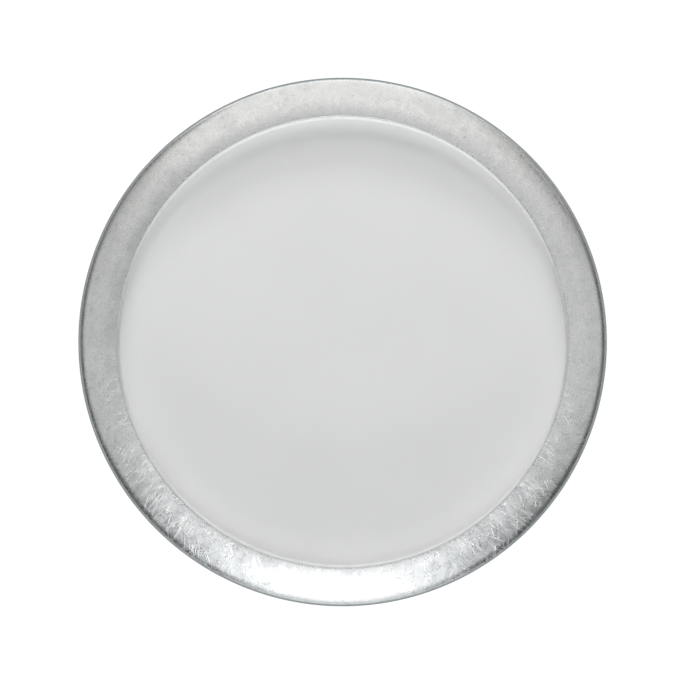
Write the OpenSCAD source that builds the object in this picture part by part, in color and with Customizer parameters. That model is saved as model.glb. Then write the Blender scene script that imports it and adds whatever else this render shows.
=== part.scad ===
// Charger plate: a pressed core under matt lacquer, with a band of lapped metal leaf round its rim.
// The plate stands on z = 0 with its axis on Z, and +Y is the edge at the photograph's top.

/* [Plate] */
// Diameter over the leaf laps
plate_d = 330; // [250:1:400]
// Width of the leaf band, from its inner edge to the outside
rim_w = 24.3; // [18:0.1:40]
// Thickness of the core's base, wall and rim
core_t = 4; // [3.5:0.1:5.5]

/* [Well] */
// Depth of the well, from the crest of the rim to its floor
well_h = 12; // [8:0.1:16]
// Radius of the cove between the well's floor and its wall
cove_r = 1; // [0.8:0.1:5]
// Slope of the wall, in degrees
wall_slope = 88; // [70:1:88]

/* [Rim] */
// Radius of the shoulder between the wall and the rim
shoulder_r = 0.8; // [0.6:0.1:3]
// Slope of the shoulder where the leaf starts, in degrees
leaf_slope = 25; // [10:1:60]
// Fall of the crowned rim where it meets the lip, in degrees
rim_fall = 12; // [6:0.5:16]
// Radius of the soft turn between the rim and the lip's edge
lip_soft_r = 12; // [6:0.5:16]
// Fall of the lip where the soft turn ends, in degrees
lip_fall = 28; // [20:1:45]
// Radius of the lip's edge
lip_r = 3.6; // [2:0.1:4.5]
// Width of the lip's turned-down edge
lip_w = 3.4; // [2.4:0.1:3.8]
// Depth that the lip hangs below the rim's underside
lip_hang = 2.8; // [2.4:0.1:4]

/* [Foot ring] */
// Diameter of the foot ring, at the middle of its bearing face
foot_d = 196; // [140:1:230]
// Width of the foot ring's bearing face
foot_w = 4; // [2.5:0.1:8]
// Height of the foot ring
foot_h = 3; // [2:0.1:6]
// Height up to which the sides of the foot ring are bare too
foot_bare_h = 0.9; // [0.7:0.1:1.6]

/* [Coats and leaf] */
// Thickness of the lacquer, front and back
lacquer_t = 0.3; // [0.1:0.05:0.5]
// Thickness of a sheet of leaf
leaf_t = 0.1; // [0.05:0.01:0.2]
// Angle that each sheet of leaf laps over the one before it, in degrees
lap_deg = 3; // [2:1:6]

/* [Hidden] */

$fn = 360;
arc_steps = 6;

// Where each sheet starts, counter-clockwise from +X, in degrees: full sheets, and two cut to close a run
seam_deg = [33, 61, 104, 152, 174, 221, 264, 313, 346];
// Angle over which a sheet steps down from its lap, in degrees
step_deg = 1;

// How far a cut runs past what it cuts
overrun = 0.5;

// Small radii of the underside
foot_edge_r = 0.6;
foot_root_r = 1.2;
under_bend_r = 2;
lip_root_r = 0.8;
// Radius of each lower corner of the lip, and where the front and back lacquer meet over its lower
// edge, as shares of its width
lip_edge_share = 0.45;
lacquer_joint_share = 0.6;
// Draft of the foot ring's sides, in degrees from upright
foot_draft = 14;

foot_r = foot_d / 2;
foot_run = foot_h * tan(foot_draft);
foot_bare_run = foot_bare_h * tan(foot_draft);

// Radii of the lacquered surface, and the height of the well's floor
outer_r = plate_d / 2 - 2 * leaf_t;
leaf_inner_r = plate_d / 2 - rim_w;
floor_z = foot_h + core_t + lacquer_t;

// The direction that faces out of a surface of the given slope
function facing(slope) = [-sin(slope), cos(slope)];
function along(slope) = [cos(slope), sin(slope)];

// The shoulder, which carries the leaf's inner edge, and the ends of the straight wall under it
shoulder_c = [leaf_inner_r + shoulder_r * sin(leaf_slope), floor_z + well_h - shoulder_r];
crest = shoulder_c + [0, shoulder_r];
wall_top = shoulder_c + shoulder_r * facing(wall_slope);
wall_rise = wall_top.y - floor_z - cove_r * (1 - cos(wall_slope));
wall_foot = wall_top - along(wall_slope) * wall_rise / sin(wall_slope);

// Centres of the other arcs of the top, each tangent to the next: cove, rim, soft turn and lip
cove_c = wall_foot + cove_r * facing(wall_slope);
lip_in = outer_r - lip_r * (1 - sin(lip_fall));
rim_run = lip_in - lip_soft_r * (sin(lip_fall) - sin(rim_fall)) - crest.x;
rim_r = rim_run / sin(rim_fall);
rim_c = crest - [0, rim_r];
soft_c = rim_c + (rim_r - lip_soft_r) * facing(-rim_fall);
lip_c = soft_c + (lip_soft_r - lip_r) * facing(-lip_fall);

// Underside of the wall and of the rim, each one core thickness behind the top of the core
rim_end = rim_c + rim_r * facing(-rim_fall);
rim_chord = rim_end - crest;
under_slope = atan2(rim_chord.y, rim_chord.x);
under_cove_r = cove_r + lacquer_t + core_t;
wall_under = cove_c - under_cove_r * facing(wall_slope);
rim_under = crest - (lacquer_t + core_t) * facing(under_slope);
under_corner = crossing(wall_under, wall_slope, rim_under, under_slope);
core_r = outer_r - lacquer_t;
lip_in_r = core_r - lip_w;
lip_root_z = rim_under.y + (lip_in_r - rim_under.x) * tan(under_slope);
lip_z = lip_root_z - lip_hang;
lip_edge_r = lip_w * lip_edge_share;
side_z = lip_z + lip_w * lacquer_joint_share;

function cross_z(a, b) = a.x * b.y - a.y * b.x;
function reversed(path) = [for (i = [len(path) - 1:-1:0]) path[i]];
function tail(path) = [for (i = [1:len(path) - 1]) path[i]];

// Point where the line through p at one slope meets the line through q at another
function crossing(p, p_slope, q, q_slope) =
    p + along(p_slope) * cross_z(q - p, along(q_slope)) / cross_z(along(p_slope), along(q_slope));

// Arc of a surface that faces its centre, or away from it, from one slope to another
function hollow_arc(c, r, from, to) =
    [for (i = [1:arc_steps]) c - r * facing(from + (to - from) * i / arc_steps)];
function crowned_arc(c, r, from, to) =
    [for (i = [1:arc_steps]) c + r * facing(from + (to - from) * i / arc_steps)];

// Section of the top at height h over the lacquered surface: the well up to the leaf, then rim and lip
function well_line(h) = concat(
    [[0, floor_z + h], [cove_c.x, floor_z + h]],
    hollow_arc(cove_c, cove_r - h, 0, wall_slope),
    [wall_top + h * facing(wall_slope)],
    crowned_arc(shoulder_c, shoulder_r + h, wall_slope, leaf_slope));
function rim_line(h) = concat(
    [shoulder_c + (shoulder_r + h) * facing(leaf_slope)],
    crowned_arc(shoulder_c, shoulder_r + h, leaf_slope, 0),
    crowned_arc(rim_c, rim_r + h, 0, -rim_fall),
    crowned_arc(soft_c, lip_soft_r + h, -rim_fall, -lip_fall),
    crowned_arc(lip_c, lip_r + h, -lip_fall, -90),
    [[outer_r + h, side_z]]);
function top_line(h) = concat(well_line(h), tail(rim_line(h)));

// A path with its inner corners rounded, moved by t to its right-hand side
function unit(v) = v / norm(v);
function right_of(v) = [v.y, -v.x];
function heading(path, i) = unit(path[i + 1] - path[i]);
function corner(path, i, r, t) =
    let (a = heading(path, i - 1), b = heading(path, i),
         turn = asin(cross_z(a, b)), side = sign(turn),
         v = path[i] + t * (right_of(a) + right_of(b)) / (1 + a * b),
         arc_r = r + side * t,
         start = v - a * arc_r * tan(abs(turn) / 2),
         c = start - side * arc_r * right_of(a),
         first = atan2(start.y - c.y, start.x - c.x))
    [for (k = [0:arc_steps]) c + arc_r * along(first + turn * k / arc_steps)];
function rounded(path, radii, t) = concat(
    [path[0] + t * right_of(heading(path, 0))],
    [for (i = [1:len(path) - 2]) each corner(path, i, radii[i - 1], t)],
    [path[len(path) - 1] + t * right_of(heading(path, len(path) - 2))]);

// Section of the underside at depth t below the core, inside and outside the bare foot ring
foot_in_r = foot_r - foot_w / 2;
foot_out_r = foot_r + foot_w / 2;
foot_in_end = [foot_in_r - foot_bare_run, foot_bare_h];
foot_out_end = [foot_out_r + foot_bare_run, foot_bare_h];
function base_line(t) = rounded(
    [[0, foot_h], [foot_in_r - foot_run, foot_h], foot_in_end],
    [foot_root_r], t);
function back_line(t) = concat(
    rounded([foot_out_end, [foot_out_r + foot_run, foot_h], [cove_c.x, foot_h]], [foot_root_r], t),
    hollow_arc(cove_c, under_cove_r + t, 0, wall_slope),
    tail(rounded(
        [wall_under,
         under_corner,
         [lip_in_r, lip_root_z],
         [lip_in_r, lip_z],
         [core_r, lip_z],
         [core_r, side_z]],
        [under_bend_r, lip_root_r, lip_edge_r, lip_edge_r], t)));
foot_path = [foot_in_end, [foot_in_r, 0], [foot_out_r, 0], foot_out_end];
foot_line = concat(corner(foot_path, 1, foot_edge_r, 0), corner(foot_path, 2, foot_edge_r, 0));

module turned(section) {
    rotate_extrude() polygon(section);
}

module core() {
    color("burlywood")
        turned(concat(top_line(-lacquer_t),
            tail(reversed(concat(base_line(0), foot_line, back_line(0))))));
}

module top_lacquer() {
    color("white") turned(concat(top_line(-lacquer_t), reversed(top_line(0))));
}

module back_lacquer() {
    color("white") turned(concat(back_line(0), reversed(back_line(lacquer_t))));
}

module base_lacquer() {
    color("white") turned(concat(base_line(0), reversed(base_line(lacquer_t))));
}

// A ring over the rim between heights low and high, from angle start round to angle end, and the same
// with its edges run on to cut another
module leaf_arc(low, high, start, end) {
    rotate([0, 0, start])
        rotate_extrude(angle = end - start)
            polygon(concat(rim_line(low), reversed(rim_line(high))));
}
function cut_line(h) = concat(
    [rim_line(h)[0] - overrun * along(leaf_slope)],
    rim_line(h),
    [[outer_r + h, side_z - overrun]]);
module leaf_cut(low, high, start, end) {
    rotate([0, 0, start])
        rotate_extrude(angle = end - start)
            polygon(concat(cut_line(low), reversed(cut_line(high))));
}

// A sheet starts on top of the sheet before it, steps down, and ends under the sheet after it
module leaf_sheet(i) {
    start = seam_deg[i];
    last = len(seam_deg) - 1;
    next = i < last ? seam_deg[i + 1] : seam_deg[0] + 360;
    color("silver")
        difference() {
            leaf_arc(0, 2 * leaf_t, start, next + lap_deg);
            leaf_cut(-overrun, leaf_t, start - step_deg, start + lap_deg);
            leaf_cut(leaf_t, 2 * leaf_t + overrun, start + lap_deg + step_deg, next + lap_deg + step_deg);
        }
}

core();
top_lacquer();
back_lacquer();
base_lacquer();
leaf_sheet(0);  // leaf_sheet_1
leaf_sheet(1);  // leaf_sheet_2
leaf_sheet(2);  // leaf_sheet_3
leaf_sheet(3);  // leaf_sheet_4
leaf_sheet(4);  // leaf_sheet_5
leaf_sheet(5);  // leaf_sheet_6
leaf_sheet(6);  // leaf_sheet_7
leaf_sheet(7);  // leaf_sheet_8
leaf_sheet(8);  // leaf_sheet_9
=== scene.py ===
"""Charger plate: the looks of its lacquer, leaf and bare core, and the studio it is photographed in."""

import math

import bpy
import numpy as np
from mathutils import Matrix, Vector


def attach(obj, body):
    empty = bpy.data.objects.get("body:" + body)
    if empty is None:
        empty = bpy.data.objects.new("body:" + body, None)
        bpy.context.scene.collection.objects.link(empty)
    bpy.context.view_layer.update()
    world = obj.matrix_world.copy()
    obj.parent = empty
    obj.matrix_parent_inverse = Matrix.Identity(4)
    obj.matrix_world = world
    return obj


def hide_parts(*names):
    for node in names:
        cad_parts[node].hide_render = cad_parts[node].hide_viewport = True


MM = 0.001
FULL = 360

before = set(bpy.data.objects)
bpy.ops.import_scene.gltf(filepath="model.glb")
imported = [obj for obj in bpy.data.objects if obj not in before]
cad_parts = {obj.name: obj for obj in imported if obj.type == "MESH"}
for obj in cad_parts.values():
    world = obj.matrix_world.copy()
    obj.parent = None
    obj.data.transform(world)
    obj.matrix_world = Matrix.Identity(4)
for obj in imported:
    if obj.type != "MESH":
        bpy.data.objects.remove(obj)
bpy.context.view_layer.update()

# The plate's own sizes, in millimetres and degrees, as the CAD part has them
PLATE_D = 330
RIM_W = 24.3
CORE_T = 4
WELL_H = 12
COVE_R = 1
WALL_SLOPE = 88
SHOULDER_R = 0.8
LEAF_SLOPE = 25
RIM_FALL = 12
LIP_SOFT_R = 12
LIP_FALL = 28
LIP_R = 3.6
LIP_W = 3.4
LIP_HANG = 2.8
FOOT_H = 3
LACQUER_T = 0.3
LEAF_T = 0.1
LAP_DEG = 3
STEP_DEG = 1
LACQUER_JOINT_SHARE = 0.6
SEAM_DEG = (33, 61, 104, 152, 174, 221, 264, 313, 346)
# Shares by degrees counter-clockwise from +X: how creased the leaf is, which also places its painted
# glints, and how much painted shade lies along the well
CREASED_AND_GLINT_SHARES = {
    0: 0.5, 90: 0.3, 180: 0.5, 215: 1, 235: 1.4, 250: 1, 262: 0.3,
    280: 0.3, 292: 1, 302: 1.6, 315: 1.4, 330: 0.9, 360: 0.5,
}
WELL_SHADE_SHARES = {0: 0, 60: 0.1, 120: 0.3, 150: 1.2, 180: 0.9, 205: 0.2, 230: 0, 360: 0}

OUTER_R = PLATE_D / 2 - 2 * LEAF_T
LEAF_INNER_R = PLATE_D / 2 - RIM_W
FLOOR_Z = FOOT_H + CORE_T + LACQUER_T


def facing(slope):
    """Direction that faces out of a surface of the given slope."""
    return np.array([-math.sin(math.radians(slope)), math.cos(math.radians(slope))])


def along(slope):
    return np.array([math.cos(math.radians(slope)), math.sin(math.radians(slope))])


# Centres of the arcs of the top, each tangent to the next, and the height of the lip's side
sin_fall, sin_lip = math.sin(math.radians(RIM_FALL)), math.sin(math.radians(LIP_FALL))
shoulder_x = LEAF_INNER_R + SHOULDER_R * math.sin(math.radians(LEAF_SLOPE))
shoulder_c = np.array([shoulder_x, FLOOR_Z + WELL_H - SHOULDER_R])
crest = shoulder_c + np.array([0, SHOULDER_R])
wall_top = shoulder_c + SHOULDER_R * facing(WALL_SLOPE)
wall_rise = wall_top[1] - FLOOR_Z - COVE_R * (1 - math.cos(math.radians(WALL_SLOPE)))
wall_foot = wall_top - along(WALL_SLOPE) * wall_rise / math.sin(math.radians(WALL_SLOPE))
cove_c = wall_foot + COVE_R * facing(WALL_SLOPE)
lip_in = OUTER_R - LIP_R * (1 - sin_lip)
rim_run = lip_in - LIP_SOFT_R * (sin_lip - sin_fall) - crest[0]
rim_r = rim_run / sin_fall
rim_c = crest - np.array([0, rim_r])
soft_c = rim_c + (rim_r - LIP_SOFT_R) * facing(-RIM_FALL)
lip_c = soft_c + (LIP_SOFT_R - LIP_R) * facing(-LIP_FALL)
rim_chord = rim_c + rim_r * facing(-RIM_FALL) - crest
under_slope = math.degrees(math.atan2(rim_chord[1], rim_chord[0]))
rim_under = crest - (LACQUER_T + CORE_T) * facing(under_slope)
core_r = OUTER_R - LACQUER_T
lip_root_z = rim_under[1] + (core_r - LIP_W - rim_under[0]) * math.tan(math.radians(under_slope))
side_z = lip_root_z - LIP_HANG + LIP_W * LACQUER_JOINT_SHARE

# How much closer the points of the well's section lie on its wall, and on its shoulder, than on its floor
WALL_FINER = 8
SHOULDER_FINER = 24


def arc(c, r, slope_a, slope_b, spacing):
    """Points of an arc between two slopes, without its first; r is negative for a hollow."""
    n = max(4, math.ceil(abs(r * math.radians(slope_b - slope_a)) / spacing))
    return [c + r * facing(slope_a + (slope_b - slope_a) * i / n) for i in range(1, n + 1)]


def line(a, b, spacing):
    """Points of a straight line, without its first."""
    n = max(1, math.ceil(np.linalg.norm(b - a) / spacing))
    return [a + (b - a) * i / n for i in range(1, n + 1)]


def well_line(h, spacing):
    """Section of the well at height h over the lacquered surface, from the axis up to the leaf."""
    start = np.array([0.0, FLOOR_Z + h])
    path = [start] + line(start, np.array([cove_c[0], FLOOR_Z + h]), spacing)
    path += arc(cove_c, h - COVE_R, 0, WALL_SLOPE, spacing / WALL_FINER)
    path += line(path[-1], wall_top + h * facing(WALL_SLOPE), spacing / WALL_FINER)
    return path + arc(shoulder_c, SHOULDER_R + h, WALL_SLOPE, LEAF_SLOPE, spacing / SHOULDER_FINER)


def rim_line(h, spacing):
    """Section of the rim at height h over the lacquer, from the leaf's edge down to the lip's side."""
    path = [shoulder_c + (SHOULDER_R + h) * facing(LEAF_SLOPE)]
    path += arc(shoulder_c, SHOULDER_R + h, LEAF_SLOPE, 0, spacing)
    path += arc(rim_c, rim_r + h, 0, -RIM_FALL, spacing)
    path += arc(soft_c, LIP_SOFT_R + h, -RIM_FALL, -LIP_FALL, spacing)
    path += arc(lip_c, LIP_R + h, -LIP_FALL, -90, spacing)
    return path + line(path[-1], np.array([OUTER_R + h, side_z]), spacing)


def section_normals(path):
    """Directions that face out of a section, at each of its points."""
    step = np.gradient(path, axis=0)
    step /= np.linalg.norm(step, axis=1)[:, None]
    return np.stack([-step[:, 1], step[:, 0]], -1)


# Smooth random fields over the leaf, for the shape of its crinkles: cells before their noise repeats
NOISE_CELLS = 512
# Ridges: how far they bend and lie apart, in widths, how sharp they are, and the patches they come in
RIDGE_BEND = 2.5
RIDGE_APART = 3
RIDGE_SHARPNESS = 3
RIDGE_PATCH_SHARE = 0.8
RIDGE_CONTRAST = 2.2


def eased(share):
    """A share from 0 to 1 with a soft start and end."""
    return share * share * (3 - 2 * share)


def value_noise(u, v, scale, seed):
    """Smooth noise from -1 to 1 at places u, v, with hills about scale wide."""
    rng = np.random.default_rng(seed)
    grid = rng.uniform(-1, 1, (NOISE_CELLS, NOISE_CELLS))
    x, y = u / scale, v / scale
    xi, yi = np.floor(x).astype(int), np.floor(y).astype(int)
    fx, fy = eased(x - xi), eased(y - yi)
    x0, x1 = xi % NOISE_CELLS, (xi + 1) % NOISE_CELLS
    y0, y1 = yi % NOISE_CELLS, (yi + 1) % NOISE_CELLS
    low = grid[y0, x0] * (1 - fx) + grid[y0, x1] * fx
    high = grid[y1, x0] * (1 - fx) + grid[y1, x1] * fx
    return low * (1 - fy) + high * fy


def ridges(u, v, length, width, turn, seed):
    """Thin wandering ridges, 0 to 1, about length long and width wide, at an angle to the rim."""
    a = math.radians(turn)
    p, q = u * math.cos(a) + v * math.sin(a), -u * math.sin(a) + v * math.cos(a)
    bend = value_noise(p, q, length, seed + 1) * width * RIDGE_BEND
    field = value_noise(p / length * width * RIDGE_APART + bend, q + bend, width * RIDGE_APART, seed)
    crest_of = np.clip(1 - np.abs(field) * RIDGE_SHARPNESS, 0, 1) ** 2
    patches = value_noise(u, v, length * RIDGE_PATCH_SHARE, seed + 2) * RIDGE_CONTRAST
    return crest_of * np.clip(patches, 0, 1)


# The leaf's grid and relief in millimetres, and its wrinkles' lengths and turns from the rim's line
LEAF_GRID = 0.45
PUCKER_H = 0.01
PUCKER_W = 7
CRINKLE_H = 0.003
CRINKLE_W = 2.2
CRINKLE_DRIFT = 3
CRINKLE_DRIFT_W = 5
WRINKLE_H = 0.016
WRINKLE_W = 1.1
WRINKLES = ((12, 88), (9, 64), (9, 120))
# Share of that relief where the leaf isn't creased, and the most where it is
SMOOTH_SHARE = 0.1
ROUGH_SHARE = 1.2
# A sheet's torn edge: how far it wanders, its waves' widths and sizes, and how far into the sheet they go
EDGE_WANDER = 0.5
EDGE_WAVES = ((2.4, 1), (0.8, 0.6))
EDGE_WAVES_END = 12
# Width over which the relief grows from nothing, along the band's two edges and along the torn edge
BAND_FADE_W = 1.2
LAP_FADE_W = 3
# Thickness of the torn edge as a share of the sheet's full thickness
EDGE_THIN_SHARE = 0.06
# Each sheet draws from random seeds of its own
SHEET_SEEDS = 100
EDGE_SEED = 50


def leaf_relief(u, v, seed):
    """Height of the leaf's crinkles over its even thickness, in millimetres."""
    pucker = value_noise(u, v, PUCKER_W, seed) * PUCKER_H
    drift = CRINKLE_DRIFT * value_noise(u, v, CRINKLE_DRIFT_W, seed + 3)
    crinkle = value_noise(u + drift, v, CRINKLE_W, seed + 4) * CRINKLE_H
    wrinkle = sum(
        ridges(u, v, length, WRINKLE_W, turn, seed + 10 * k) * WRINKLE_H
        for k, (length, turn) in enumerate(WRINKLES)
    )
    return pucker + crinkle + wrinkle + PUCKER_H + CRINKLE_H


def shell(name, top, bottom):
    """A closed mesh between two grids of points in millimetres, and each vertex's place in the grid."""
    rows, cols = top.shape[:2]
    count = rows * cols
    number = np.arange(count).reshape(rows, cols)
    a, b, c, d = number[:-1, :-1], number[1:, :-1], number[1:, 1:], number[:-1, 1:]
    faces = [np.stack([a, b, c, d], -1).reshape(-1, 4), count + np.stack([a, d, c, b], -1).reshape(-1, 4)]
    # The rim between the two grids has corners of its own, so that the shading breaks there
    edge = np.concatenate([number[0, :-1], number[:-1, -1], number[-1, :0:-1], number[:0:-1, 0]])
    this = np.arange(len(edge)) + 2 * count
    after = np.roll(this, -1)
    faces.append(np.stack([this, after, after + len(edge), this + len(edge)], -1))
    upper, lower = top.reshape(-1, 3), bottom.reshape(-1, 3)
    mesh = bpy.data.meshes.new(name)
    points = np.concatenate([upper, lower, upper[edge], lower[edge]]) * MM
    mesh.from_pydata(points, [], np.concatenate(faces).tolist())
    mesh.update()
    return mesh, np.concatenate([number.ravel(), number.ravel(), edge, edge])


def set_attribute(mesh, name, kind, field, values):
    """Stores a value at each of the mesh's vertices, for its material to read."""
    data = mesh.attributes.new(name, kind, "POINT").data
    data.foreach_set(field, values.astype(np.float32).ravel())


def feathered(share):
    """Thickness of a sheet from its torn edge, at share 0, to where it is whole, at share 1."""
    return LEAF_T * (EDGE_THIN_SHARE + (1 - EDGE_THIN_SHARE) * eased(np.clip(share, 0, 1)))


def round_rim(shares, angle):
    """The shares of a table by degrees, read at angles round the rim."""
    return np.interp(np.degrees(angle) % FULL, list(shares), list(shares.values()))


def leaf_sheet(i):
    """One sheet of leaf, from its lap on the sheet before it to its end under the sheet after it."""
    start = SEAM_DEG[i]
    after = SEAM_DEG[i + 1] if i + 1 < len(SEAM_DEG) else SEAM_DEG[0] + FULL
    end = after + LAP_DEG
    path = np.array(rim_line(0, LEAF_GRID))
    out = section_normals(path)
    reach = np.concatenate([[0], np.cumsum(np.linalg.norm(np.diff(path, axis=0), axis=1))])
    mean_r = (LEAF_INNER_R + OUTER_R) / 2
    cols = math.ceil(math.radians(end - start) * mean_r / LEAF_GRID)
    turn = np.linspace(0, end - start, cols + 1)
    deg, v = np.meshgrid(turn, reach)
    u = np.radians(deg) * mean_r
    seed = SHEET_SEEDS * (i + 1)
    # The lap's edge wanders a little, as a torn edge does, and leaves the far end where it is
    wander = sum(
        size * value_noise(reach, reach * 0, width, seed + EDGE_SEED + k)
        for k, (width, size) in enumerate(EDGE_WAVES)
    )
    shift = (wander * EDGE_WANDER + EDGE_WANDER)[:, None] * np.clip(1 - u / EDGE_WAVES_END, 0, 1)
    angle = np.radians(start + deg) + shift / mean_r
    over = angle - math.radians(start)
    settled = np.clip(1 - (np.degrees(over) - LAP_DEG) / STEP_DEG, 0, 1)
    lifted = feathered(1 - np.degrees(over) / LAP_DEG) * eased(settled)
    under = (deg - (after - start)) / LAP_DEG
    thick = np.minimum(feathered(deg / LAP_DEG), feathered(1 - under))
    # How creased the leaf is, which also sets where its painted glints show, and the share of painted
    # shade along the well
    creased_and_glint, well_shade_by_angle = round_rim(CREASED_AND_GLINT_SHARES, angle), round_rim(WELL_SHADE_SHARES, angle)
    relief = leaf_relief(u, v, seed) * np.minimum(creased_and_glint + SMOOTH_SHARE, ROUGH_SHARE)
    relief *= np.clip(np.minimum(v, reach[-1] - v) / BAND_FADE_W, 0, 1)
    relief *= np.clip(u / LAP_FADE_W, 0, 1) * np.clip(-under * LAP_DEG / STEP_DEG, 0, 1)

    def place(h):
        r = path[:, 0][:, None] + out[:, 0][:, None] * h
        z = path[:, 1][:, None] + out[:, 1][:, None] * h
        return np.stack([r * np.cos(angle), r * np.sin(angle), z], -1)

    name = f"leaf_sheet_{i + 1}_laid"
    mesh, source = shell(name, place(lifted + thick + relief), place(lifted))
    lay = np.stack([u * MM, v * MM, np.full_like(u, i)], -1).reshape(-1, 3)
    set_attribute(mesh, "lay", "FLOAT_VECTOR", "vector", lay[source])
    set_attribute(mesh, "creased_and_glint", "FLOAT", "value", creased_and_glint.ravel()[source])
    set_attribute(mesh, "well_shade_by_angle", "FLOAT", "value", well_shade_by_angle.ravel()[source])
    return finish_piece(name, mesh, f"leaf_sheet_{i + 1}", leaf_material)


def finish_piece(name, mesh, node, material):
    """Puts a smooth mesh in the scene in place of a CAD node, with its material."""
    mesh.polygons.foreach_set("use_smooth", [True] * len(mesh.polygons))
    mesh.materials.append(material)
    obj = bpy.data.objects.new(name, mesh)
    bpy.context.scene.collection.objects.link(obj)
    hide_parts(node)
    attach(obj, "root")
    return obj


# Columns of the front lacquer's mesh, and the spacing of its points in millimetres on the well and rim
FRONT_COLS = 900
FRONT_WELL_SPACING = 6
FRONT_RIM_SPACING = 1


def front_lacquer():
    """The lacquer over the whole front, as one turned skin with its own thickness."""
    top, low = (
        np.array(well_line(h, FRONT_WELL_SPACING) + rim_line(h, FRONT_RIM_SPACING)[1:])
        for h in (0, -LACQUER_T)
    )
    ring = np.concatenate([top[1:], low[:0:-1]])
    turn = np.linspace(0, math.tau, FRONT_COLS, endpoint=False)
    r, z = ring[:, 0][:, None], ring[:, 1][:, None]
    co = np.stack([r * np.cos(turn), r * np.sin(turn), z + 0 * turn], -1)
    rows = len(ring)
    number = np.arange(rows * FRONT_COLS).reshape(rows, FRONT_COLS)
    nxt = np.roll(number, -1, axis=1)
    quads = np.stack([number[:-1], number[1:], nxt[1:], nxt[:-1]], -1).reshape(-1, 4)
    points = np.concatenate([co.reshape(-1, 3), [[0, 0, top[0][1]], [0, 0, low[0][1]]]]) * MM
    hub_top, hub_low = rows * FRONT_COLS, rows * FRONT_COLS + 1
    fans = [(hub_top, int(number[0, k]), int(nxt[0, k])) for k in range(FRONT_COLS)]
    fans += [(hub_low, int(nxt[-1, k]), int(number[-1, k])) for k in range(FRONT_COLS)]
    mesh = bpy.data.meshes.new("front_lacquer_coat")
    mesh.from_pydata(points, [], quads.tolist() + fans)
    mesh.update()
    return finish_piece("front_lacquer_coat", mesh, "top_lacquer", lacquer_material)


# Node helpers
class Nodes:
    """Builds the node tree of a material or of the world."""

    def __init__(self, owner):
        owner.use_nodes = True
        self.owner = owner
        self.tree = owner.node_tree
        self.shader = self.tree.nodes.get("Principled BSDF")

    def add(self, kind, settings=None, **inputs):
        node = self.tree.nodes.new(kind)
        for key, value in (settings or {}).items():
            setattr(node, key, value)
        for key, value in inputs.items():
            self.put(node.inputs[key.replace("_", " ")], value)
        return node

    def put(self, socket, value):
        if isinstance(value, bpy.types.NodeSocket):
            self.tree.links.new(value, socket)
        else:
            socket.default_value = value

    def math(self, operation, *values):
        node = self.tree.nodes.new("ShaderNodeMath")
        node.operation = operation
        for socket, value in zip(node.inputs, values):
            self.put(socket, value)
        return node.outputs[0]

    def times(self, value, *others):
        for other in others:
            value = self.math("MULTIPLY", value, other)
        return value

    def vector(self, operation, *values):
        node = self.tree.nodes.new("ShaderNodeVectorMath")
        node.operation = operation
        for socket, value in zip(node.inputs, values):
            self.put(socket, value)
        return node.outputs[0]

    def ramp(self, value, low, high, out_low=0.0, out_high=1.0):
        """A smooth step of the value from low to high, or down where out_low is the higher."""
        node = self.add("ShaderNodeMapRange", {"interpolation_type": "SMOOTHSTEP"})
        for socket, item in zip(node.inputs, (value, low, high, out_low, out_high)):
            self.put(socket, item)
        return node.outputs[0]

    def noise(self, place, scale, detail=3.0, rough=0.55, distortion=0.0):
        node = self.add("ShaderNodeTexNoise", Vector=place, Scale=scale, Detail=detail, Roughness=rough,
                        Distortion=distortion)
        return node.outputs[0]

    def turned(self, place, turn, scale, move=(0, 0, 0)):
        """The place turned by an angle, and then scaled along its own two axes."""
        spin = (0, 0, math.radians(-turn))
        node = self.add("ShaderNodeMapping", Vector=place, Location=move, Rotation=spin)
        return self.vector("MULTIPLY", node.outputs[0], scale)

    def attribute(self, name):
        return self.add("ShaderNodeAttribute", {"attribute_name": name}).outputs

    def parts(self, place):
        return self.add("ShaderNodeSeparateXYZ", Vector=place).outputs

    def mix_color(self, share, a, b):
        node = self.add("ShaderNodeMix", {"data_type": "RGBA"})
        self.put(node.inputs[0], share)
        self.put(node.inputs[6], a)
        self.put(node.inputs[7], b)
        return node.outputs[2]

    def two_tone(self, value, tones):
        """The value's hills and hollows in two close tones."""
        return self.mix_color(self.ramp(value, 0.3, 0.7), *tones)

    def bump(self, height, distance, strength=1.0, normal=None):
        node = self.add("ShaderNodeBump", Height=height, Distance=distance, Strength=strength)
        if normal is not None:
            self.put(node.inputs["Normal"], normal)
        return node.outputs[0]


# Height of the leaf's rubbing, creases and grain, in millimetres
RUB_H = 0.02
CREASE_H = 0.036
GRAIN_H = 0.015
# How far the pattern bends and moves on from one sheet to the next, in metres
BEND = (0.002, 0.002, 0)
SHEET_MOVE = (0.37, 0.83)
# Strokes: turn from the rim's line and its spread, length, gap, width, share of them drawn, and place
CREASES = (
    (88, 24, 26, 3, 0.36, 0.5, 1),
    (72, 36, 20, 2.8, 0.32, 0.6, 5),
    (114, 40, 18, 2.8, 0.32, 0.5, 9),
    (92, 70, 12, 2.6, 0.3, 0.6, 13),
    (62, 30, 24, 2.8, 0.32, 0.6, 29),
    (128, 30, 20, 2.8, 0.32, 0.5, 33),
    (45, 40, 16, 2.8, 0.32, 0.5, 41),
)
DASHES = ((12, 50, 16, 4, 0.7, 0.5, 17), (95, 160, 9, 4, 0.6, 0.5, 21))
# Shares of a stroke's length, from its middle, where it begins to fade and ends; share of faint strokes
FULL_STROKE_SHARE = 0.1
FADED_STROKE_SHARE = 0.42
FAINT_SHARE = 0.05
# Where across the band its painted shades begin and end, and how far that strays, in millimetres from the
# well
WELL_SHADE_START = 1
WELL_SHADE_END = 11
WELL_SHADE_STRAY = 14
LIP_SHADE_START = 22.6
LIP_SHADE_END = 23.8
LIP_SHADE_STRAY = 1.6
EDGE_SHADE_START = 23.4
EDGE_SHADE_END = 24.6
INNER_SHADE_START = 0.4
INNER_SHADE_END = 1
INNER_SHADE_STRAY = 1
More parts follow.
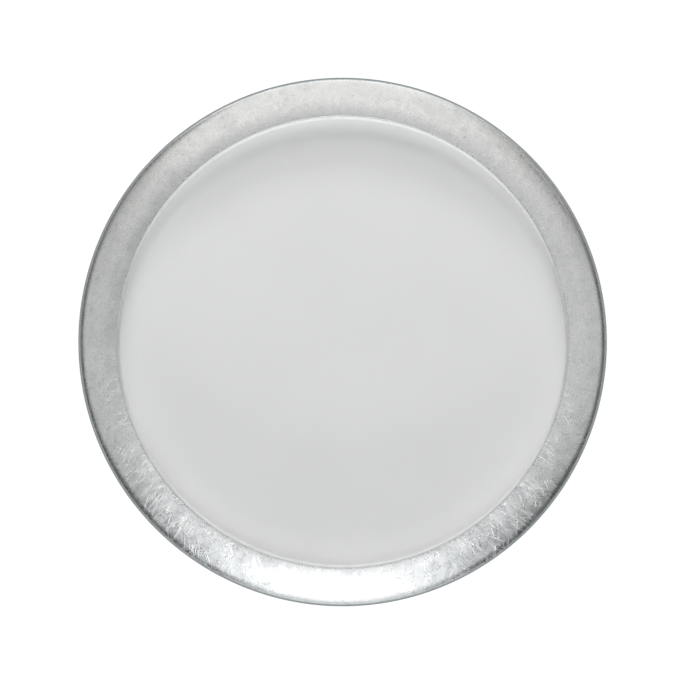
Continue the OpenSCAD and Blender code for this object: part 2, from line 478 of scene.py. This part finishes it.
# The leaf's two bright tones, and the tones over them with the most that shows of each
BRIGHT = ((0.682, 0.69, 0.686, 1), (0.716, 0.723, 0.72, 1))
TONES = {
    "patch": {"color": (0.57, 0.588, 0.582, 1), "share": 0.3},
    "grain": {"color": (0.45, 0.465, 0.465, 1), "share": 0.08},
    "dash": {"color": (0.45, 0.465, 0.465, 1), "share": 0.14},
    "fleck": {"color": (0.34, 0.35, 0.35, 1), "share": 0.5},
    "soil": {"color": (0.27, 0.295, 0.31, 1), "share": 0.55},
    # Painted shade on the leaf along the well
    "painted_well_shade": {"color": (0.4, 0.415, 0.415, 1), "share": 0.5},
    # Painted glint: pale strokes on the creases
    "painted_crease_glint": {"color": (0.86, 0.86, 0.86, 1), "share": 0.2},
    # Painted shade over the leaf where it turns down over the lip
    "painted_lip_shade": {"color": (0.335, 0.39, 0.403, 1), "share": 1},
    # Darkest painted shade at the lip's outer edge
    "rubbing_and_edge_shade": {"color": (0.12, 0.142, 0.15, 1), "share": 0.85},
    # Painted shade along the leaf's inner edge
    "inner": {"color": (0.335, 0.39, 0.403, 1), "share": 0.28},
}


def make_leaf_material():
    """Crinkled silver-coloured leaf: mottled satin metal with wrinkles, speckle and fine dark specks,
    painted glints on its creases, and painted shade along the well, along its inner edge and over the
    lip.
    """
    n = Nodes(bpy.data.materials.new("leaf"))
    lay = n.attribute("lay")["Vector"]
    # Shares of creasing, which also scale the painted glints, and of painted shade along the well
    creased_and_glint, well_shade_by_angle = n.attribute("creased_and_glint")["Fac"], n.attribute("well_shade_by_angle")["Fac"]
    part = n.parts(lay)
    across, sheet = part[1], part[2]
    # Each sheet has its own part of the pattern
    move = n.add("ShaderNodeCombineXYZ", X=n.times(sheet, SHEET_MOVE[0]), Y=n.times(sheet, SHEET_MOVE[1]))
    place = n.vector("ADD", n.vector("MULTIPLY", lay, (1, 1, 0)), move.outputs[0])

    cloud = n.noise(place, 60, detail=4, rough=0.6, distortion=0.6)
    patch = n.noise(place, 150, detail=3, rough=0.6, distortion=1)
    grain = n.noise(place, 1100, detail=3, rough=0.65)
    warp = n.add("ShaderNodeTexNoise", Vector=place, Scale=90, Detail=2).outputs["Color"]
    bent = n.vector("ADD", place, n.vector("MULTIPLY", warp, BEND))

    def strokes(turn, spread, length, gap, width, share, seed):
        """Single thin strokes at a turn from the rim's line, up to half of spread more or less."""
        cells = n.turned(bent, turn, (1 / (length * MM), 1 / (gap * MM), 1), (seed, seed, 0))
        flat = {"voronoi_dimensions": "2D"}
        cell = n.add("ShaderNodeTexVoronoi", flat, Vector=cells, Scale=1, Randomness=0.9).outputs
        off = n.vector("MULTIPLY", n.vector("SUBTRACT", cells, cell["Position"]), (length, gap, 0))
        luck = n.add("ShaderNodeSeparateColor", Color=cell["Color"]).outputs
        lean = n.times(n.math("SUBTRACT", luck[0], 0.5), math.radians(spread))
        laid = n.add("ShaderNodeVectorRotate", {"rotation_type": "Z_AXIS"}, Vector=off, Angle=lean)
        spot = n.parts(laid.outputs[0])
        full, faded = length * FULL_STROKE_SHARE, length * FADED_STROKE_SHARE
        lengthwise = n.ramp(n.math("ABSOLUTE", spot[0]), full, faded, 1, 0)
        beside = n.ramp(n.math("ABSOLUTE", spot[1]), 0, width, 1, 0)
        return n.times(lengthwise, beside, n.ramp(luck[1], 1 - share, 1 + FAINT_SHARE - share))

    def all_strokes(specs):
        drawn = strokes(*specs[0])
        for spec in specs[1:]:
            drawn = n.math("MAXIMUM", drawn, strokes(*spec))
        return drawn

    def streaks(turn, scale, move, detail, rough):
        """Noise that is drawn out at a turn from the rim's line."""
        return n.noise(n.turned(bent, turn, (*scale, 1), (*move, 0)), 1, detail, rough)

    def strayed(noise, width):
        """Place across the band, moved by the noise by up to half the width."""
        return n.math("ADD", across, n.times(n.math("SUBTRACT", noise, 0.5), width * MM))

    def over(base, name, mask):
        return n.mix_color(n.times(mask, TONES[name]["share"]), base, TONES[name]["color"])

    # The creases' strokes, for their relief and for their painted glint
    creases_and_glint = n.times(all_strokes(CREASES), creased_and_glint)
    flecks = n.times(n.ramp(streaks(14, (220, 900), (3, 5), 3, 0.6), 0.57, 0.67),
                     n.ramp(patch, 0.44, 0.6, 0.1, 1))
    # Where the leaf is most creased it is rubbed through in fine dark specks, in patches
    specks = n.ramp(streaks(20, (700, 1100), (1, 9), 4, 0.7), 0.42, 0.62)
    soil = n.ramp(n.noise(place, 110, detail=4, rough=0.65, distortion=1.2), 0.38, 0.62)
    # Painted shade where the leaf turns down over the lip's edge, along the well, and along the leaf's
    # inner edge
    painted_lip_shade = n.ramp(strayed(patch, LIP_SHADE_STRAY), LIP_SHADE_START * MM, LIP_SHADE_END * MM)
    painted_well_shade = n.ramp(strayed(cloud, WELL_SHADE_STRAY), WELL_SHADE_START * MM, WELL_SHADE_END * MM, 1, 0)
    inner = n.ramp(strayed(grain, INNER_SHADE_STRAY), INNER_SHADE_START * MM, INNER_SHADE_END * MM, 1, 0)

    base = n.two_tone(cloud, BRIGHT)
    base = over(base, "patch", n.ramp(patch, 0.5, 0.75))
    base = over(base, "grain", n.ramp(grain, 0.42, 0.6, 1, 0))
    base = over(base, "dash", all_strokes(DASHES))
    base = over(base, "fleck", flecks)
    base = over(base, "soil", n.times(soil, creased_and_glint, specks))
    # Painted shade along the well
    base = over(base, "painted_well_shade", n.times(well_shade_by_angle, painted_well_shade))
    # Painted glint on the creases
    base = over(base, "painted_crease_glint", creases_and_glint)
    # Painted shade over the lip's turn
    base = over(base, "painted_lip_shade", n.times(painted_lip_shade, n.ramp(grain, 0.35, 0.6, 1, 0.75)))
    # Darkest painted shade at the lip's outer edge
    base = over(base, "rubbing_and_edge_shade", n.ramp(across, EDGE_SHADE_START * MM, EDGE_SHADE_END * MM))
    # Painted shade along the leaf's inner edge
    base = over(base, "inner", inner)
    n.put(n.shader.inputs["Base Color"], base)
    n.put(n.shader.inputs["Metallic"], 1.0)
    rough = n.math("ADD", n.ramp(patch, 0.3, 0.7, 0.22, 0.3), n.times(grain, 0.06))
    n.put(n.shader.inputs["Roughness"], rough)
    n.put(n.shader.inputs["Coat Weight"], 0.2)
    n.shader.inputs["Coat Roughness"].default_value = 0.3

    # Fine rubbing, denser in some patches than in others
    rub = streaks(82, (180, 1000), (0, 0), 2, 0.5)
    rub = n.math("ADD", rub, streaks(48, (180, 1100), (7, 3), 2, 0.5))
    rubbing_and_edge_shade = n.times(n.ramp(cloud, 0.38, 0.62, 0.15, 1), creased_and_glint)
    relief = n.bump(rub, RUB_H * MM, rubbing_and_edge_shade)
    relief = n.bump(creases_and_glint, CREASE_H * MM, 1, relief)
    relief = n.bump(grain, GRAIN_H * MM, 1, relief)
    n.put(n.shader.inputs["Normal"], relief)
    return n.owner


# The front lacquer's two close tones, its dust, and a grey painted shade over the wall's top and the
# shoulder along the leaf
FRONT_TONES = ((0.773, 0.774, 0.773, 1), (0.789, 0.79, 0.789, 1))
DUST = (0.93, 0.93, 0.93, 1)
DUST_SHARE = 0.35
SHOULDER_SHADE = (0.52, 0.53, 0.53, 1)
SHOULDER_SHADE_SHARE = 0.75
SHOULDER_SHADE_BELOW = 3
SHOULDER_SHADE_ABOVE = 0.4
FRONT_PEEL_H = 0.02


def make_lacquer_material():
    """Matt white lacquer: very even, with a faint cloud and the finest orange peel, and grey painted
    shade on the top of the well's wall and the shoulder.
    """
    n = Nodes(bpy.data.materials.new("front_lacquer"))
    place = n.add("ShaderNodeTexCoord").outputs["Object"]
    peel = n.noise(place, 700, detail=2, rough=0.5)
    dust = n.ramp(n.noise(place, 2600, detail=1, rough=0.5), 0.74, 0.8)
    base = n.two_tone(n.noise(place, 14, detail=3, rough=0.5), FRONT_TONES)
    base = n.mix_color(n.times(dust, DUST_SHARE), base, DUST)
    # Painted shade: grey that grows over the top of the well's wall and covers the shoulder along the
    # leaf
    shoulder_shade_z = FLOOR_Z + WELL_H - SHOULDER_R
    low, high = (shoulder_shade_z - SHOULDER_SHADE_BELOW) * MM, (shoulder_shade_z + SHOULDER_SHADE_ABOVE) * MM
    base = n.mix_color(n.ramp(n.parts(place)[2], low, high, 0, SHOULDER_SHADE_SHARE), base, SHOULDER_SHADE)
    n.put(n.shader.inputs["Base Color"], base)
    n.put(n.shader.inputs["Roughness"], n.ramp(peel, 0.3, 0.7, 0.5, 0.58))
    n.shader.inputs["Specular IOR Level"].default_value = 0.3
    n.put(n.shader.inputs["Normal"], n.bump(peel, FRONT_PEEL_H * MM, 0.3))
    return n.owner


# The underside's two close tones, its grit, and the height of its orange peel in millimetres
UNDERSIDE_TONES = ((0.75, 0.75, 0.735, 1), (0.79, 0.79, 0.78, 1))
GRIT = (0.66, 0.65, 0.62, 1)
GRIT_SHARE = 0.25
UNDERSIDE_PEEL_H = 0.12


def make_underside_material():
    """Sprayed white lacquer with an orange peel and a little grit."""
    n = Nodes(bpy.data.materials.new("underside_lacquer"))
    place = n.add("ShaderNodeTexCoord").outputs["Object"]
    cloud = n.noise(place, 20, detail=4, rough=0.6)
    peel = n.noise(place, 420, detail=2, rough=0.5)
    grit = n.ramp(n.noise(place, 1600, detail=2, rough=0.6), 0.66, 0.76)
    base = n.mix_color(n.times(grit, GRIT_SHARE), n.two_tone(cloud, UNDERSIDE_TONES), GRIT)
    n.put(n.shader.inputs["Base Color"], base)
    n.put(n.shader.inputs["Roughness"], n.ramp(cloud, 0.3, 0.7, 0.42, 0.56))
    n.put(n.shader.inputs["Normal"], n.bump(peel, UNDERSIDE_PEEL_H * MM, 0.35))
    return n.owner


# The core's two browns, and its fibres' colours, the share of them that shows, and their height
CORE_TONES = ((0.42, 0.3, 0.19, 1), (0.55, 0.41, 0.27, 1))
PALE_FIBRE = (0.68, 0.54, 0.37, 1)
DARK_FIBRE = (0.29, 0.2, 0.12, 1)
FIBRE_SHARE = 0.6
FIBRE_H = 0.12


def make_core_material():
    """Pressed wood fibre: brown, with short pale and dark fibres that lie across each other."""
    n = Nodes(bpy.data.materials.new("pressed_core"))
    place = n.add("ShaderNodeTexCoord").outputs["Object"]
    pale = n.noise(n.turned(place, 20, (260, 1500, 900)), 1, detail=3, rough=0.6)
    dark = n.noise(n.turned(place, 75, (300, 1400, 900)), 1, detail=3, rough=0.6)
    base = n.two_tone(n.noise(place, 60, detail=4, rough=0.6), CORE_TONES)
    base = n.mix_color(n.times(n.ramp(pale, 0.55, 0.68), FIBRE_SHARE), base, PALE_FIBRE)
    base = n.mix_color(n.times(n.ramp(dark, 0.56, 0.7), FIBRE_SHARE), base, DARK_FIBRE)
    n.put(n.shader.inputs["Base Color"], base)
    n.put(n.shader.inputs["Roughness"], n.ramp(pale, 0.3, 0.7, 0.72, 0.88))
    n.put(n.shader.inputs["Normal"], n.bump(n.math("ADD", pale, dark), FIBRE_H * MM, 0.6))
    return n.owner


leaf_material = make_leaf_material()
lacquer_material = make_lacquer_material()
underside_material = make_underside_material()
core_material = make_core_material()

for node, material in (
    ("core", core_material),
    ("back_lacquer", underside_material),
    ("base_lacquer", underside_material),
):
    for material_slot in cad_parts[node].material_slots:
        material_slot.material = material

front_lacquer()
for sheet_number in range(len(SEAM_DEG)):
    leaf_sheet(sheet_number)


# Floor, pale where it is lit and a little darker in shadow
FLOOR_HALF = 2.5
FLOOR_TONES = ((0.8, 0.8, 0.8, 1), (0.84, 0.84, 0.84, 1))
FLOOR_WHITE = 0.92
FLOOR_SHADE = 0.16


def make_floor():
    """A floor that glows nearly white to the camera and the metal, and lights the plate as a matt one."""
    n = Nodes(bpy.data.materials.new("floor"))
    place = n.add("ShaderNodeTexCoord").outputs["Object"]
    n.put(n.shader.inputs["Base Color"], n.mix_color(n.noise(place, 3), *FLOOR_TONES))
    n.put(n.shader.inputs["Roughness"], 0.9)
    path = n.add("ShaderNodeLightPath").outputs
    seen = n.math("MAXIMUM", path["Is Glossy Ray"], path["Is Transmission Ray"])
    seen = n.math("MAXIMUM", path["Is Camera Ray"], seen)
    white = n.add("ShaderNodeEmission", Strength=FLOOR_WHITE)
    shade = n.add("ShaderNodeBsdfDiffuse", Color=(FLOOR_SHADE, FLOOR_SHADE, FLOOR_SHADE, 1))
    glow = n.add("ShaderNodeAddShader")
    n.put(glow.inputs[0], white.outputs[0])
    n.put(glow.inputs[1], shade.outputs[0])
    both = n.add("ShaderNodeMixShader")
    n.put(both.inputs[0], seen)
    n.put(both.inputs[1], n.shader.outputs[0])
    n.put(both.inputs[2], glow.outputs[0])
    n.put(n.tree.nodes["Material Output"].inputs["Surface"], both.outputs[0])
    mesh = bpy.data.meshes.new("floor")
    s = FLOOR_HALF
    mesh.from_pydata([(-s, -s, 0), (s, -s, 0), (s, s, 0), (-s, s, 0)], [], [(0, 1, 2, 3)])
    mesh.materials.append(n.owner)
    floor = bpy.data.objects.new("floor", mesh)
    bpy.context.scene.collection.objects.link(floor)


make_floor()


# Soft lights, each at a bearing clockwise from the photograph's top and an angle from straight above
LIGHT_DISTANCE = 1.6
LIGHTS = {
    "above": {"bearing": 0, "zenith": 0, "width": 1.0, "height": 1.0, "power": 1.85},
    "right": {"bearing": 90, "zenith": 32, "width": 0.9, "height": 0.9, "power": 1.8},
    "left": {"bearing": 266, "zenith": 34, "width": 0.9, "height": 0.9, "power": 1.75},
    "front_up": {"bearing": 184, "zenith": 22, "width": 0.36, "height": 0.6, "power": 2},
    "front": {"bearing": 182, "zenith": 40, "width": 1.0, "height": 0.9, "power": 4.3},
    "front_low": {"bearing": 180, "zenith": 70, "width": 1.6, "height": 0.5, "power": 2.6},
}
# Panels that only the metal mirrors, and lamps that it doesn't mirror
CARDS = {
    "back_card": {"bearing": 358, "zenith": 40, "width": 1.3, "height": 1.5, "power": 6.9},
    "back_low_card": {"bearing": 0, "zenith": 72, "width": 2.4, "height": 0.5, "power": 4.4},
    "left_low_card": {"bearing": 308, "zenith": 46, "width": 0.8, "height": 0.6, "power": 0.65},
    "right_low_card": {"bearing": 42, "zenith": 52, "width": 0.9, "height": 0.5, "power": 0.9},
}
KEYS = {
    "back_key": {"bearing": 0, "zenith": 55, "width": 0.5, "height": 0.5, "power": 7.2},
    "back_key_low": {"bearing": 0, "zenith": 72, "width": 0.8, "height": 0.3, "power": 12},
    "low_front": {"bearing": 180, "zenith": 84, "width": 0.4, "height": 0.2, "power": 16},
    "left_fill": {"bearing": 240, "zenith": 44, "width": 0.8, "height": 0.8, "power": 1.3},
    "right_fill": {"bearing": 120, "zenith": 44, "width": 0.8, "height": 0.8, "power": 0.5},
    "top_key": {"bearing": 180, "zenith": 25, "width": 0.5, "height": 0.5, "power": 0.9},
}
WHITE = (1, 1, 1)
WARM = (1, 0.99, 0.972)
COOL = (0.97, 0.985, 1)


def make_light(name, light, color, matt=True, glossy=True):
    data = bpy.data.lights.new(name, "AREA")
    data.shape = "RECTANGLE"
    data.size, data.size_y = light["width"], light["height"]
    data.energy = light["power"]
    data.color = color
    lamp = bpy.data.objects.new(name, data)
    bearing, zenith = math.radians(light["bearing"]), math.radians(light["zenith"])
    flat, up = math.sin(zenith), math.cos(zenith)
    way = Vector((flat * math.sin(bearing), flat * math.cos(bearing), up))
    lamp.location = way * LIGHT_DISTANCE
    lamp.rotation_euler = way.to_track_quat("Z", "Y").to_euler()
    lamp.visible_diffuse = matt
    lamp.visible_glossy = glossy
    bpy.context.scene.collection.objects.link(lamp)


def make_lights():
    for name, light in LIGHTS.items():
        make_light(name, light, COOL if name.startswith("front") else WHITE)
    for name, light in CARDS.items():
        make_light(name, light, WARM, matt=False)
    for name, light in KEYS.items():
        make_light(name, light, WHITE, glossy=False)


make_lights()

# A dim room, in which the metal also mirrors pale walls near the horizon
WORLD_LEVEL = 0.06
WALL_LEVEL = 0.42
WALL_TOP = 0.5
WALL_FULL = 0.2


def make_world():
    """Dim light from all sides, and for mirrored rays walls that fade out towards their top."""
    n = Nodes(bpy.data.worlds.new("studio"))
    bpy.context.scene.world = n.owner
    up = n.parts(n.add("ShaderNodeTexCoord").outputs["Generated"])[2]
    wall = n.add("ShaderNodeMapRange", Value=up, From_Min=WALL_TOP, From_Max=WALL_FULL, To_Max=WALL_LEVEL)
    mirrored = n.add("ShaderNodeLightPath").outputs["Is Glossy Ray"]
    level = n.math("MULTIPLY_ADD", mirrored, wall.outputs[0], WORLD_LEVEL)
    background = n.tree.nodes["Background"].inputs
    n.put(background["Color"], (*WHITE, 1))
    n.put(background["Strength"], level)


make_world()

# Camera: straight above, with the plate a little left of and above the middle, as in the photograph
CAMERA_H = 2.5
CAMERA_X = 4.61 * MM
CAMERA_Y = -4.98 * MM
SEEN_WIDTH = 436.35 * MM
SEEN_Z = 15 * MM
SENSOR = 36

camera = bpy.data.cameras.new("camera")
camera.sensor_width = SENSOR
camera.lens = SENSOR * CAMERA_H / SEEN_WIDTH
viewer = bpy.data.objects.new("camera", camera)
viewer.location = (CAMERA_X, CAMERA_Y, CAMERA_H + SEEN_Z)
bpy.context.scene.collection.objects.link(viewer)
bpy.context.scene.camera = viewer
bpy.context.scene.view_settings.view_transform = "Standard"
